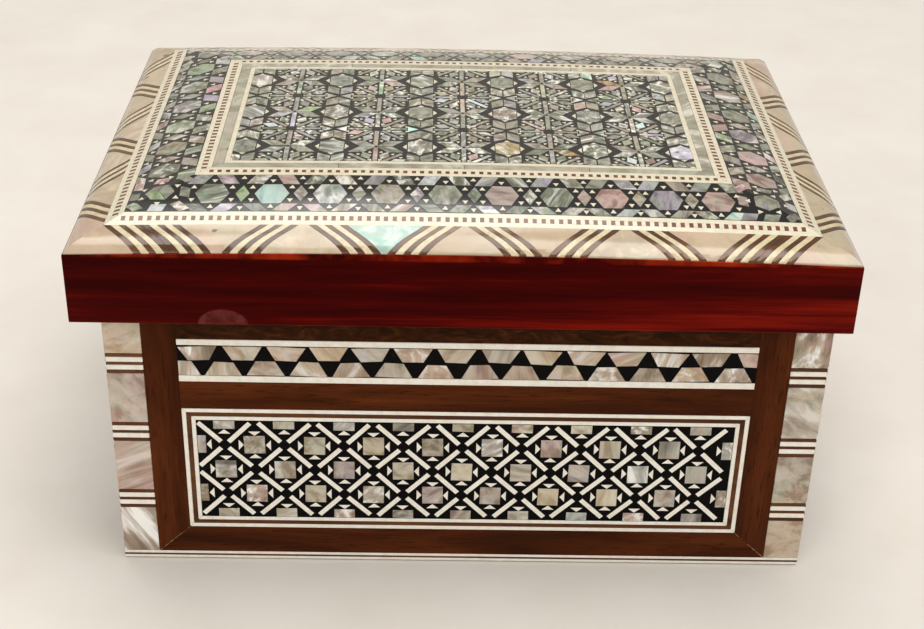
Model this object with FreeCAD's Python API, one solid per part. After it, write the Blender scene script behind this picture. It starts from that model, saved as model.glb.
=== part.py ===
# An inlaid wooden keepsake box. The case has mosaic faces on all four sides and a velvet
# lining, and its overhanging, pillow-shaped lid turns on two brass butt hinges at the back.
# Millimetres, +Z up. The origin is on the surface that the box stands on, under the middle
# of the lid.
import FreeCAD, Part
import os
from FreeCAD import Placement, Rotation, Vector

# Case, outside, with its inlay. It sits a little to the right of the lid's middle.
CASE_WIDTH = 150.0
CASE_DEPTH = 104.3
CASE_TOP = 62.7
CASE_SHIFT = 1.4

# Lid, outside. Its top edge is arched along X, and its top slopes in from all four edges.
LID_WIDTH = 158.2
LID_DEPTH = 112.5
LID_GAP = 0.2
SKIRT_HEIGHT = 15.2
ARCH = 1.24
CROWN_RISE = 6.5
CROWN_RUN = 28.5

# Timber, inlay and cloth
FELT = 0.8
FELT_INSET = 0.5
BOARD = 6.5
BASE_BOARD = 4.5
CASE_INLAY = 1.5
CARD_LINING = 1.2
FLOOR_LINING = 1.5
LINING_DROP = 1.0
LID_RAIL = 12.1
LID_RECESS = 11.5
LID_INLAY = 1.2
LID_LIP = 0.25

# Layout of one face of the case: widths along it, and heights above the ground
CORNER_STRIP = 7.8
STILE = 7.1
PANEL_STRING = 2.9
BASE_STRING_BOTTOM = 0.3
BASE_STRING_TOP = 2.1
PANEL_FRAME_BOTTOM = 8.9
PANEL_FRAME_TOP = 39.9
MIDDLE_RAIL_TOP = 46.6
BAND_BOTTOM = 48.2
BAND_TOP = 55.4
TOP_RAIL_BOTTOM = 56.9

# Layout of the lid's inlay: distances in from its edge, at the inner edge of each border
BORDER_IN = 7.2
OUTER_STRING_IN = 10.8
BAND_IN = 23.3
INNER_STRING_IN = 26.5
STRIP_IN = 28.8
LINE_IN = 29.9

# Hinges
HINGE_SPACING = 84.0
HINGE_LENGTH = 20.0
LEAF_WIDTH = 5.5
LEAF = 0.9
BARREL_RADIUS = 1.4
BARREL_OFFSET = 1.6
BARREL_ROOM = 0.5
KNUCKLE_GAP = 0.3
PIN_RADIUS = 0.7
FIXED_BORE_RADIUS = 0.72
RUNNING_BORE_RADIUS = 0.76
SCREW_SPACING = 11.0
SCREW_INSET = 2.6
SCREW_HEAD_RADIUS = 1.5
SCREW_SHANK_RADIUS = 0.8
SCREW_HEAD_DEPTH = 0.8
SCREW_LENGTH = 5.0

LID_BOTTOM = CASE_TOP + LID_GAP
EDGE_TOP = LID_BOTTOM + SKIRT_HEIGHT
ABOVE_LID = EDGE_TOP + 20
SIDES = {"front": 0, "right": 90, "back": 180, "left": 270}


def box(x0, x1, y0, y1, z0, z1):
    return Part.makeBox(x1 - x0, y1 - y0, z1 - z0, Vector(x0, y0, z0))


def plan_prism(points, z0, z1):
    """A prism that stands on an outline given in plan."""
    corners = [Vector(x, y, z0) for x, y in points]
    return Part.Face(Part.makePolygon(corners + corners[:1])).extrude(Vector(0, 0, z1 - z0))


def face_prism(points, y0, y1):
    """A prism with an outline given as seen from the front."""
    corners = [Vector(x, y0, z) for x, z in points]
    return Part.Face(Part.makePolygon(corners + corners[:1])).extrude(Vector(0, y1 - y0, 0))


def save(node, shapes):
    solids = [solid for shape in shapes for solid in shape.Solids]
    shape = solids[0] if len(solids) == 1 else Part.makeCompound(solids)
    shape.exportStep(f"parts/{node}.step")


def turned(shape, degrees):
    """A copy turned about the upright axis, from the front face to another side."""
    copy = shape.copy()
    copy.Placement = Placement(Vector(), Rotation(Vector(0, 0, 1), degrees)) * copy.Placement
    return copy


def on_case(shape):
    return shape.translated(Vector(CASE_SHIFT, 0, 0))


# ---- the faces of the case -------------------------------------------------------------

def mitred_pair(inner, half, front, z0, z1):
    """The left and right end strips of a face, mitred where they meet the next face."""
    back = front + CASE_INLAY
    right = [(inner, front), (half, front), (half - CASE_INLAY, back), (inner, back)]
    left = [(-x, y) for x, y in reversed(right)]
    return [plan_prism(right, z0, z1), plan_prism(left, z0, z1)]


def face_pieces(half, front):
    """The inlay of one face: half its width, and the Y of its outer surface."""
    back = front + CASE_INLAY
    outer = half - CORNER_STRIP
    inner = outer - STILE
    stile = [(inner, PANEL_FRAME_BOTTOM), (outer, BASE_STRING_TOP), (outer, CASE_TOP), (inner, CASE_TOP)]
    bottom_rail = [(-outer, BASE_STRING_TOP), (outer, BASE_STRING_TOP),
                   (inner, PANEL_FRAME_BOTTOM), (-inner, PANEL_FRAME_BOTTOM)]
    panel_half = inner - PANEL_STRING
    panel_bottom = PANEL_FRAME_BOTTOM + PANEL_STRING
    panel_top = PANEL_FRAME_TOP - PANEL_STRING

    def strip(z0, z1):
        return box(-inner, inner, front, back, z0, z1)

    panel = box(-panel_half, panel_half, front, back, panel_bottom, panel_top)
    return {
        "corner_strips": mitred_pair(outer, half, front, BASE_STRING_TOP, CASE_TOP),
        "stiles": [face_prism(stile, front, back),
                   face_prism([(-x, z) for x, z in reversed(stile)], front, back)],
        "rails": [strip(TOP_RAIL_BOTTOM, CASE_TOP), strip(PANEL_FRAME_TOP, MIDDLE_RAIL_TOP),
                  face_prism(bottom_rail, front, back)],
        "strings": [strip(MIDDLE_RAIL_TOP, BAND_BOTTOM), strip(BAND_TOP, TOP_RAIL_BOTTOM),
                    strip(PANEL_FRAME_BOTTOM, PANEL_FRAME_TOP).cut(panel)],
        "zigzag_band": [strip(BAND_BOTTOM, BAND_TOP)],
        "lattice_panel": [panel],
    }


def case_faces():
    nodes = {}
    for side, degrees in SIDES.items():
        along, away = (CASE_WIDTH, CASE_DEPTH) if degrees % 180 == 0 else (CASE_DEPTH, CASE_WIDTH)
        for piece, shapes in face_pieces(along / 2, -away / 2).items():
            nodes[f"{side}_{piece}"] = [on_case(turned(shape, degrees)) for shape in shapes]
    return nodes


# ---- the carcass and its linings -------------------------------------------------------

def ring_of_four(half_x, half_y, thickness, z0, z1):
    """Four boards round a rectangle; the front and back ones run the full width."""
    inner_x, inner_y = half_x - thickness, half_y - thickness
    return {
        "front": on_case(box(-half_x, half_x, -half_y, -inner_y, z0, z1)),
        "back": on_case(box(-half_x, half_x, inner_y, half_y, z0, z1)),
        "left": on_case(box(-half_x, -inner_x, -inner_y, inner_y, z0, z1)),
        "right": on_case(box(inner_x, half_x, -inner_y, inner_y, z0, z1)),
    }


def carcass():
    half_x, half_y = CASE_WIDTH / 2 - CASE_INLAY, CASE_DEPTH / 2 - CASE_INLAY
    inside_x, inside_y = half_x - BOARD, half_y - BOARD
    floor = FELT + BASE_BOARD
    nodes = {}
    for side, board in ring_of_four(half_x, half_y, BOARD, FELT, CASE_TOP).items():
        nodes[f"case_{side}_board"] = [board]
    linings = ring_of_four(inside_x, inside_y, CARD_LINING, floor + FLOOR_LINING, CASE_TOP - LINING_DROP)
    for side, lining in linings.items():
        nodes[f"{side}_wall_lining"] = [lining]
    nodes["base_board"] = [on_case(box(-inside_x, inside_x, -inside_y, inside_y, FELT, floor))]
    nodes["floor_lining"] = [on_case(box(-inside_x, inside_x, -inside_y, inside_y,
                                         floor, floor + FLOOR_LINING))]
    felt_x, felt_y = half_x - FELT_INSET, half_y - FELT_INSET
    nodes["base_felt"] = [on_case(box(-felt_x, felt_x, -felt_y, felt_y, 0, FELT))]
    outside = box(-CASE_WIDTH / 2, CASE_WIDTH / 2, -CASE_DEPTH / 2, CASE_DEPTH / 2,
                  BASE_STRING_BOTTOM, BASE_STRING_TOP)
    inside = box(-half_x, half_x, -half_y, half_y, 0, CASE_TOP)
    nodes["base_string"] = [on_case(outside.cut(inside))]
    return nodes


# ---- the lid ---------------------------------------------------------------------------

def arch(x):
    return ARCH * (1 - (2 * x / LID_WIDTH) ** 2)


def rise(inset):
    return CROWN_RISE * (1 - (1 - min(inset, CROWN_RUN) / CROWN_RUN) ** 2)


def quadratic_poles(height, start, end):
    """Three control points that give a quadratic curve exactly."""
    middle = (start + end) / 2
    pull = 2 * height(middle) - (height(start) + height(end)) / 2
    return [(start, height(start)), (middle, pull), (end, height(end))]


def under_patch(along_x, x0, x1, along_y, y0, y1):
    """The solid under one patch of the crown, down to the lid's underside."""
    surface = Part.BezierSurface()
    surface.increase(2, 2)
    for i, (x, x_height) in enumerate(quadratic_poles(along_x, x0, x1), 1):
        for j, (y, y_height) in enumerate(quadratic_poles(along_y, y0, y1), 1):
            surface.setPole(i, j, Vector(x, y, EDGE_TOP + x_height + y_height))
    depth = EDGE_TOP + ARCH + CROWN_RISE - LID_BOTTOM
    lowered = surface.toShape().extrude(Vector(0, 0, -depth))
    return lowered.common(box(x0, x1, y0, y1, LID_BOTTOM, ABOVE_LID))


def crown_solid():
    """The whole lid as one block: where two slopes meet at a corner, the lower one holds."""
    half_x, half_y = LID_WIDTH / 2, LID_DEPTH / 2
    run_x, run_y = half_x - CROWN_RUN, half_y - CROWN_RUN

    def level(_):
        return 0.0

    def full(_):
        return CROWN_RISE

    def end_slope(x):
        return arch(x) + rise(half_x - abs(x))

    def long_slope(y):
        return rise(half_y - abs(y))

    def top(x):
        return arch(x) + CROWN_RISE

    from_front = [under_patch(arch, -half_x, half_x, long_slope, -half_y, -run_y),
                  under_patch(arch, -half_x, half_x, full, -run_y, run_y),
                  under_patch(arch, -half_x, half_x, long_slope, run_y, half_y)]
    from_ends = [under_patch(end_slope, -half_x, -run_x, level, -half_y, half_y),
                 under_patch(top, -run_x, run_x, level, -half_y, half_y),
                 under_patch(end_slope, run_x, half_x, level, -half_y, half_y)]
    one = from_front[0].fuse(from_front[1:]).removeSplitter()
    other = from_ends[0].fuse(from_ends[1:]).removeSplitter()
    return one.common(other)


def inset_corners(inset):
    half_x, half_y = LID_WIDTH / 2 - inset, LID_DEPTH / 2 - inset
    return [(-half_x, -half_y), (half_x, -half_y), (half_x, half_y), (-half_x, half_y)]


def inset_prism(inset):
    return plan_prism(inset_corners(inset), LID_BOTTOM, ABOVE_LID)


def mitred_sectors(outer, inner):
    """The four mitred lengths between two insets, in plan, keyed by side."""
    out, into = inset_corners(outer), inset_corners(inner)
    sectors = {}
    for number, side in enumerate(["front", "right", "back", "left"]):
        after = (number + 1) % 4
        outline = [out[number], out[after], into[after], into[number]]
        sectors[side] = plan_prism(outline, LID_BOTTOM, ABOVE_LID)
    return sectors


def lid_pieces():
    crown = crown_solid()
    lowered = crown.translated(Vector(0, 0, -LID_INLAY))
    skin = crown.cut(lowered).common(inset_prism(LID_LIP))
    timber = crown.cut(skin)
    nodes = {}
    for side, sector in mitred_sectors(0, LID_RAIL).items():
        nodes[f"lid_{side}_rail"] = [timber.common(sector)]
    for side, sector in mitred_sectors(LID_LIP, BORDER_IN).items():
        nodes[f"lid_{side}_border"] = [skin.common(sector)]
    rings = {"outer_string": (BORDER_IN, OUTER_STRING_IN), "mosaic_band": (OUTER_STRING_IN, BAND_IN),
             "inner_string": (BAND_IN, INNER_STRING_IN), "shell_strip": (INNER_STRING_IN, STRIP_IN),
             "inner_line": (STRIP_IN, LINE_IN)}
    for ring, (outer, inner) in rings.items():
        nodes[f"lid_{ring}"] = [skin.common(inset_prism(outer).cut(inset_prism(inner)))]
    nodes["lid_centre_panel"] = [skin.common(inset_prism(LINE_IN))]
    inside = inset_prism(LID_RAIL)
    recess_top = LID_BOTTOM + LID_RECESS
    below = box(-LID_WIDTH, LID_WIDTH, -LID_DEPTH, LID_DEPTH, 0, recess_top)
    nodes["lid_board"] = [timber.common(inside).cut(below)]
    half_x, half_y = LID_WIDTH / 2 - LID_RAIL, LID_DEPTH / 2 - LID_RAIL
    nodes["lid_lining"] = [box(-half_x, half_x, -half_y, half_y, recess_top - FLOOR_LINING, recess_top)]
    return nodes


# ---- the hinges ------------------------------------------------------------------------

CASE_BACK = CASE_DEPTH / 2
AXIS_Y = CASE_BACK + BARREL_OFFSET
AXIS_Z = CASE_TOP + LID_GAP / 2


def rod(x0, x1, radius):
    return Part.makeCylinder(radius, x1 - x0, Vector(x0, AXIS_Y, AXIS_Z), Vector(1, 0, 0))


def knuckle(x0, x1, bore_radius, plate_z0, plate_z1):
    """A rolled knuckle and the tongue that joins it to its leaf."""
    tongue = box(x0, x1, CASE_BACK, AXIS_Y, plate_z0, plate_z1)
    return rod(x0, x1, BARREL_RADIUS).fuse(tongue).cut(rod(x0, x1, bore_radius))


def screw(x, z, up):
    """A countersunk screw whose head is flush with a leaf's flat face."""
    direction = Vector(0, 0, 1 if up else -1)
    start = Vector(x, CASE_BACK - SCREW_INSET, z)
    head = Part.makeCone(SCREW_HEAD_RADIUS, SCREW_SHANK_RADIUS, SCREW_HEAD_DEPTH, start, direction)
    return head.fuse(Part.makeCylinder(SCREW_SHANK_RADIUS, SCREW_LENGTH, start, direction))


def hinge(middle):
    """One hinge: leaves, pin and screws, and the room that they need in the timber."""
    ends = [middle - HINGE_LENGTH / 2, middle + HINGE_LENGTH / 2]
    third = HINGE_LENGTH / 3
    inner = [ends[0] + third, ends[1] - third]
    screws_x = [middle - SCREW_SPACING / 2, middle + SCREW_SPACING / 2]
    case_screws = [screw(x, CASE_TOP, up=False) for x in screws_x]
    lid_screws = [screw(x, LID_BOTTOM, up=True) for x in screws_x]
    case_plate = box(*ends, CASE_BACK - LEAF_WIDTH, CASE_BACK, CASE_TOP - LEAF, CASE_TOP)
    lid_plate = box(*ends, CASE_BACK - LEAF_WIDTH, CASE_BACK, LID_BOTTOM, LID_BOTTOM + LEAF)
    case_leaf = case_plate.fuse([
        knuckle(ends[0], inner[0], FIXED_BORE_RADIUS, CASE_TOP - LEAF, CASE_TOP),
        knuckle(inner[1], ends[1], FIXED_BORE_RADIUS, CASE_TOP - LEAF, CASE_TOP)])
    lid_leaf = lid_plate.fuse(knuckle(inner[0] + KNUCKLE_GAP, inner[1] - KNUCKLE_GAP,
                                      RUNNING_BORE_RADIUS, LID_BOTTOM, LID_BOTTOM + LEAF))
    room = rod(ends[0] - BARREL_ROOM, ends[1] + BARREL_ROOM, BARREL_RADIUS + BARREL_ROOM)
    return {
        "case_leaf": case_leaf.cut(Part.makeCompound(case_screws)).removeSplitter(),
        "lid_leaf": lid_leaf.cut(Part.makeCompound(lid_screws)).removeSplitter(),
        "pin": rod(*ends, PIN_RADIUS),
        "case_screws": case_screws,
        "lid_screws": lid_screws,
        "case_cuts": [case_plate] + case_screws,
        "lid_cuts": [lid_plate, room] + lid_screws,
    }


def fit_hinges(nodes):
    """Adds both hinges, and lets them into the timber and the inlay round them."""
    pins, case_screws, lid_screws = [], [], []
    for place, sign in (("left", -1), ("right", 1)):
        parts = hinge(CASE_SHIFT + sign * HINGE_SPACING / 2)
        nodes[f"hinge_{place}_case_leaf"] = [parts["case_leaf"]]
        nodes[f"hinge_{place}_lid_leaf"] = [parts["lid_leaf"]]
        pins.append(parts["pin"])
        case_screws += parts["case_screws"]
        lid_screws += parts["lid_screws"]
        for node, cuts in (("case_back_board", "case_cuts"), ("back_rails", "case_cuts"),
                           ("lid_back_rail", "lid_cuts")):
            nodes[node] = [shape.cut(parts[cuts]) for shape in nodes[node]]
    nodes["hinge_pins"] = pins
    nodes["hinge_case_screws"] = case_screws
    nodes["hinge_lid_screws"] = lid_screws


nodes = {**carcass(), **case_faces(), **lid_pieces()}
fit_hinges(nodes)
os.makedirs("parts", exist_ok=True)
for node, shapes in nodes.items():
    save(node, shapes)
print(len(nodes), "nodes")
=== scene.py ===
import math
import bpy
import numpy as np
from mathutils import Matrix, Vector


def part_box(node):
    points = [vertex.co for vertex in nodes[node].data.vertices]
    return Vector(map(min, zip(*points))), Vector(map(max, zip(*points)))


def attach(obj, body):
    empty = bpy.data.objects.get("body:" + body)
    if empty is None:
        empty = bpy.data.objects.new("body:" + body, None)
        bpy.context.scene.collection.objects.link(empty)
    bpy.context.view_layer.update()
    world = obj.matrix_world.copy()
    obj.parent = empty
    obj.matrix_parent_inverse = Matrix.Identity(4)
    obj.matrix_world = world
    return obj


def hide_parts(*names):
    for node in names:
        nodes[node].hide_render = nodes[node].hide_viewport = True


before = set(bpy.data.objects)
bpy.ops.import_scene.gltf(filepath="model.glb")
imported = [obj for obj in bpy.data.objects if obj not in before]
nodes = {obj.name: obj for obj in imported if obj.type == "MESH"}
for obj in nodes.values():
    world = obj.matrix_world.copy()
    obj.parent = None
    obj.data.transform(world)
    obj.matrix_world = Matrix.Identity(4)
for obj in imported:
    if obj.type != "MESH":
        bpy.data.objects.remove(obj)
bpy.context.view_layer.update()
bpy.ops.object.select_all(action="DESELECT")

# ---- Carcass ----
# Four plain boards and a base board of pale, close-grained timber, glued up into a box.
# Their top edges show round the lining when the lid is open.


def colour(red, green, blue):
    """A colour as it looks on a screen, 0 to 255, in the form that a shader takes."""
    levels = [level / 255 for level in (red, green, blue)]
    return (*[((level + 0.055) / 1.055) ** 2.4 if level > 0.04 else level / 12.92 for level in levels], 1)


def new_finish(name, **shader_settings):
    """A material. The settings belong to its shader, with _ for each space in a name."""
    material = bpy.data.materials.new(name)
    material.use_nodes = True
    shader = material.node_tree.nodes["Principled BSDF"]
    for setting, value in shader_settings.items():
        shader.inputs[setting.replace("_", " ")].default_value = value
    return material


def add(material, kind, inputs, **settings):
    """Adds one node. Each input takes a value, or the output of another node."""
    node = material.node_tree.nodes.new("ShaderNode" + kind)
    for setting, value in settings.items():
        setattr(node, setting, value)
    for socket, value in inputs.items():
        if isinstance(value, bpy.types.NodeSocket):
            material.node_tree.links.new(value, node.inputs[socket])
        else:
            node.inputs[socket].default_value = value
    return node


def give(material, socket, output):
    shader = material.node_tree.nodes["Principled BSDF"]
    material.node_tree.links.new(output, shader.inputs[socket])


def shades(material, factor, stops):
    """A run of colours, each 0 to 255, or of greys, 0 to 1, along a factor from 0 to 1."""
    node = add(material, "ValToRGB", {"Fac": factor})
    ramp = node.color_ramp
    while len(ramp.elements) < len(stops):
        ramp.elements.new(0.5)
    for element, (place, shade) in zip(ramp.elements, stops):
        element.position = place
        element.color = colour(*shade) if isinstance(shade, tuple) else (shade, shade, shade, 1)
    return node.outputs["Color"]


def mixed(material, factor, below, above, how="MIX"):
    node = add(material, "Mix", {0: factor, 6: below, 7: above}, data_type="RGBA", blend_type=how)
    return node.outputs[2]


def noise(material, place, scale, detail=4.0, roughness=0.5, distortion=0.0):
    inputs = {"Vector": place, "Scale": scale, "Detail": detail, "Roughness": roughness,
              "Distortion": distortion}
    return add(material, "TexNoise", inputs).outputs["Fac"]


def bumps(material, height, depth, strength=1.0):
    """Raises a finish by a height from 0 to 1. The depth is in metres."""
    node = add(material, "Bump", {"Height": height, "Distance": depth, "Strength": strength})
    give(material, "Normal", node.outputs["Normal"])


def place_on(material):
    return add(material, "TexCoord", {}).outputs["Object"]


def maths(material, operation, one, other):
    return add(material, "Math", {0: one, 1: other}, operation=operation).outputs["Value"]


def stretched(material, place, along, ratio):
    """A place pulled out along one axis, 0 for X to 2 for Z, as grain is."""
    scale = [1.0, 1.0, 1.0]
    scale[along] = ratio
    return add(material, "Mapping", {"Vector": place, "Scale": scale}).outputs["Vector"]


def timber(name, along, dark, middle, light, roughness, **shader_settings):
    """Wood with its grain along one axis: broad figure, fine fibres and short dark pores."""
    wood = new_finish(name, Roughness=roughness, **shader_settings)
    place = place_on(wood)
    figure = noise(wood, stretched(wood, place, along, 0.12), 130, 4, 0.55, 0.8)
    body = shades(wood, figure, [(0.3, dark), (0.5, middle), (0.72, light)])
    fibre = noise(wood, stretched(wood, place, along, 0.04), 1500, 3, 0.6)
    body = mixed(wood, 0.45, body, shades(wood, fibre, [(0.35, 0.35), (0.65, 0.95)]), "MULTIPLY")
    pores = noise(wood, stretched(wood, place, along, 0.09), 2600, 2, 0.5)
    body = mixed(wood, shades(wood, pores, [(0.6, 0.0), (0.68, 0.75)]), body, colour(*dark))
    give(wood, "Base Color", body)
    bumps(wood, mixed(wood, 0.5, fibre, pores), 0.00008, 0.6)
    return wood


def dress(names, material):
    """Gives a finish to parts whose shape already stands in the frame."""
    for name in names:
        nodes[name].data.materials.clear()
        nodes[name].data.materials.append(material)


def rounded(piece, width, segments, angle=50):
    """Rounds the edges that are sharper than an angle. Width is in the piece's own units."""
    bevel = piece.modifiers.new("arris", "BEVEL")
    bevel.width = width
    bevel.segments = segments
    bevel.angle_limit = math.radians(angle)


def ease_edges(names, width):
    """Takes the sharpness off the parts in the frame, as sandpaper does. Width in metres."""
    for name in names:
        weld = nodes[name].modifiers.new("weld", "WELD")
        weld.merge_threshold = 0.00001
        rounded(nodes[name], width, 2)


PALE = ((120, 82, 50), (158, 116, 76), (182, 142, 98))
carcass_boards = ["case_front_board", "case_back_board"]
dress(carcass_boards, timber("carcass_along", 0, *PALE, 0.6))
dress(["case_left_board", "case_right_board"], timber("carcass_across", 1, *PALE, 0.6))
dress(["base_board"], timber("carcass_base", 0, *PALE, 0.7))
ease_edges(carcass_boards + ["case_left_board", "case_right_board", "base_board"], 0.0002)

# ---- Frames ----
# Red-brown stiles and rails round the two panels of each side, mitred at the foot. They are
# strips of mahogany glued to the carcass and sanded flush with the inlay, then oiled.

SIDES = {"front": 0, "right": 90, "back": 180, "left": 270}
MAHOGANY = ((34, 13, 4), (68, 29, 9), (98, 47, 18))
OILED = {"Specular_IOR_Level": 0.3, "Specular_Tint": colour(190, 110, 60)}
TOP_RAIL_FOOT = 0.056
stile_wood = timber("stile_mahogany", 2, *MAHOGANY, 0.45, **OILED)
for side in SIDES:
    along = 0 if side in ("front", "back") else 1
    dress([f"{side}_stiles"], stile_wood)
    rail_wood = timber(f"{side}_rail_mahogany", along, *MAHOGANY, 0.45, **OILED)
    # The top rail is painted darker and browner, as the shade that the lid's overhang casts on it, and it has
    # more figure.
    place = place_on(rail_wood)
    height = add(rail_wood, "SeparateXYZ", {"Vector": place}).outputs["Z"]
    top_rail = maths(rail_wood, "GREATER_THAN", height, TOP_RAIL_FOOT)
    figure = noise(rail_wood, stretched(rail_wood, place, along, 0.45), 420, 3, 0.6, 1.5)
    painted_lid_shade = shades(rail_wood, figure, [(0.35, (24, 11, 4)), (0.55, (48, 23, 8)),
                                         (0.7, (70, 38, 15))])
    base = rail_wood.node_tree.nodes["Principled BSDF"].inputs["Base Color"]
    give(rail_wood, "Base Color", mixed(rail_wood, top_rail, base.links[0].from_socket, painted_lid_shade))
    dress([f"{side}_rails"], rail_wood)
    ease_edges([f"{side}_stiles", f"{side}_rails"], 0.00012)

# ---- Mastic ----
# The black filler that the shell is bedded in, on the case and on the lid: shellac and lamp
# black, pressed in round the pieces and rubbed down level. It has small pits and dull spots.

CASE_BEDS = [f"{side}_{bed}" for side in SIDES for bed in ("zigzag_band", "lattice_panel")]
LID_BEDS = ["lid_mosaic_band", "lid_centre_panel"]
# The lid has a clear varnish over all of its inlay. The case was only rubbed down.
VARNISH = {"Coat_Weight": 1.0, "Coat_Roughness": 0.14, "Specular_IOR_Level": 0.1}
for name, beds, sealed in (("black_mastic", CASE_BEDS, {"Specular_IOR_Level": 0.06}),
                           ("varnished_mastic", LID_BEDS, VARNISH)):
    mastic = new_finish(name, **sealed)
    place = place_on(mastic)
    speckle = noise(mastic, place, 900, 5, 0.65)
    give(mastic, "Base Color", shades(mastic, speckle, [(0.35, (4, 3, 3)), (0.62, (9, 8, 7)),
                                                        (0.8, (44, 38, 32))]))
    give(mastic, "Roughness", shades(mastic, speckle, [(0.3, 0.35), (0.7, 0.6)]))
    bumps(mastic, speckle, 0.00005, 0.6)
    dress(beds, mastic)

# ---- Zigzag bands ----
# Under the top rail of each side: two rows of mother-of-pearl trapezoids, sawn by hand and
# set tooth to tooth, so that the black between them makes a zigzag.

random = np.random.default_rng(11)


def reach(side, node):
    """Half the width of a node on one side of the case, and its foot and head, in millimetres."""
    low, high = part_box(f"{side}_{node}")
    return max((high - low).xy) * 500, low.z * 1000, high.z * 1000


def on_side(side):
    """From a flat drawing of a side, in millimetres, to its place on the case."""
    low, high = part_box("base_string")
    middle, half = (low + high) / 2, (high - low) / 2
    away = half.y if side in ("front", "back") else half.x
    return (Matrix.Translation((middle.x, middle.y, 0)) @ Matrix.Rotation(math.radians(SIDES[side]), 4, "Z")
            @ Matrix.Translation((0, -away, 0)) @ Matrix.Rotation(math.radians(90), 4, "X")
            @ Matrix.Scale(0.001, 4))


def four_sided(foot, head, low, high):
    """A tile's outline, from the two ends of its foot and the two ends of its head."""
    return [(foot[0], low), (foot[1], low), (head[1], high), (head[0], high)]


def oblong(left, right, low, high):
    return four_sided((left, right), (left, right), low, high)


def cut_tile(outline, material):
    """One flat tile, drawn in millimetres, anticlockwise."""
    bpy.ops.mesh.primitive_circle_add(vertices=len(outline), fill_type="NGON")
    tile = bpy.context.object
    for vertex, corner in zip(tile.data.vertices, outline):
        vertex.co = (*corner, 0)
    tile.data.materials.append(material)
    bpy.context.collection.objects.unlink(tile)
    return tile


def lay(outline, material, places, play=0.0):
    """The same tile laid at each place, given as x, y and a turn in degrees. Play is how far
    the hand wandered."""
    tile = cut_tile(outline, material)
    laid = []
    for x, y, turn in places:
        copy = tile.copy()
        copy.data = tile.data.copy()
        slip_x, slip_y, twist = random.uniform(-play, play, 3)
        copy.data.transform(Matrix.Translation((x + slip_x, y + slip_y, 0))
                            @ Matrix.Rotation(math.radians(turn + 15 * twist), 4, "Z"))
        laid.append(copy)
    bpy.data.objects.remove(tile)
    return laid


def pick(piece):
    bpy.ops.object.select_all(action="DESELECT")
    piece.select_set(True)
    bpy.context.view_layer.objects.active = piece


def assemble(name, tiles):
    """Lays the cut tiles on the bench and joins them into one piece."""
    for tile in tiles:
        bpy.context.collection.objects.link(tile)
    pick(tiles[0])
    for tile in tiles:
        tile.select_set(True)
    bpy.ops.object.join()
    tiles[0].name = tiles[0].data.name = name
    return tiles[0]


def saw(piece, point, normal, discard=False, cap=False):
    """Cuts along a plane. What lies on the side that the normal points to may be discarded."""
    pick(piece)
    bpy.ops.object.mode_set(mode="EDIT")
    bpy.ops.mesh.select_all(action="SELECT")
    bpy.ops.mesh.bisect(plane_co=point, plane_no=normal, clear_outer=discard, use_fill=cap)
    bpy.ops.object.mode_set(mode="OBJECT")


def saw_to(piece, half_width, bottom, top):
    """Trims a flat sheet of tiles to its panel."""
    saw(piece, (half_width, 0, 0), (1, 0, 0), discard=True)
    saw(piece, (-half_width, 0, 0), (-1, 0, 0), discard=True)
    saw(piece, (0, top, 0), (0, 1, 0), discard=True)
    saw(piece, (0, bottom, 0), (0, -1, 0), discard=True)


def apply_all(piece):
    pick(piece)
    for modifier in list(piece.modifiers):
        bpy.ops.object.modifier_apply(modifier=modifier.name)


def thicken(piece, proud, depth):
    """Gives flat tiles their thickness, with their faces a hair proud of the surface."""
    piece.data.transform(Matrix.Translation((0, 0, proud)))
    solid = piece.modifiers.new("thickness", "SOLIDIFY")
    solid.thickness = proud + depth
    solid.offset = -1
    apply_all(piece)


def ease(piece, width):
    """Takes the sharpness off the edges of tiles."""
    rounded(piece, width, 1)
    apply_all(piece)


def tint_tiles(piece):
    """Gives each separate tile three chance numbers, which its finish reads."""
    mesh = piece.data
    ends = np.empty(len(mesh.edges) * 2, int)
    mesh.edges.foreach_get("vertices", ends)
    one, other = ends.reshape(-1, 2).T
    tile = np.arange(len(mesh.vertices))
    settled = False
    while not settled:
        lowest = np.minimum(tile[one], tile[other])
        before = tile.copy()
        np.minimum.at(tile, one, lowest)
        np.minimum.at(tile, other, lowest)
        settled = (tile == before).all()
    _, tile = np.unique(tile, return_inverse=True)
    chances = random.random((tile.max() + 1, 3))
    tint = mesh.attributes.new("tint", "FLOAT_VECTOR", "POINT")
    tint.data.foreach_set("vector", chances[tile].ravel())


def smooth(piece, angle):
    pick(piece)
    bpy.ops.object.shade_smooth_by_angle(angle=math.radians(angle))


def put_on_side(piece, side):
    """Lays a finished sheet of tiles on one side of the case."""
    tint_tiles(piece)
    piece.data.transform(on_side(side))
    smooth(piece, 30)
    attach(piece, "case")


def vectors(material, operation, one, other):
    return add(material, "VectorMath", {0: one, 1: other}, operation=operation).outputs["Vector"]


FULL_TURN = (6.3, 6.3, 6.3)


def tints_of(material):
    """The chance numbers of a tile, together and apart."""
    tint = add(material, "Attribute", {}, attribute_name="tint").outputs["Vector"]
    return tint, add(material, "SeparateXYZ", {"Vector": tint}).outputs


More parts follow.
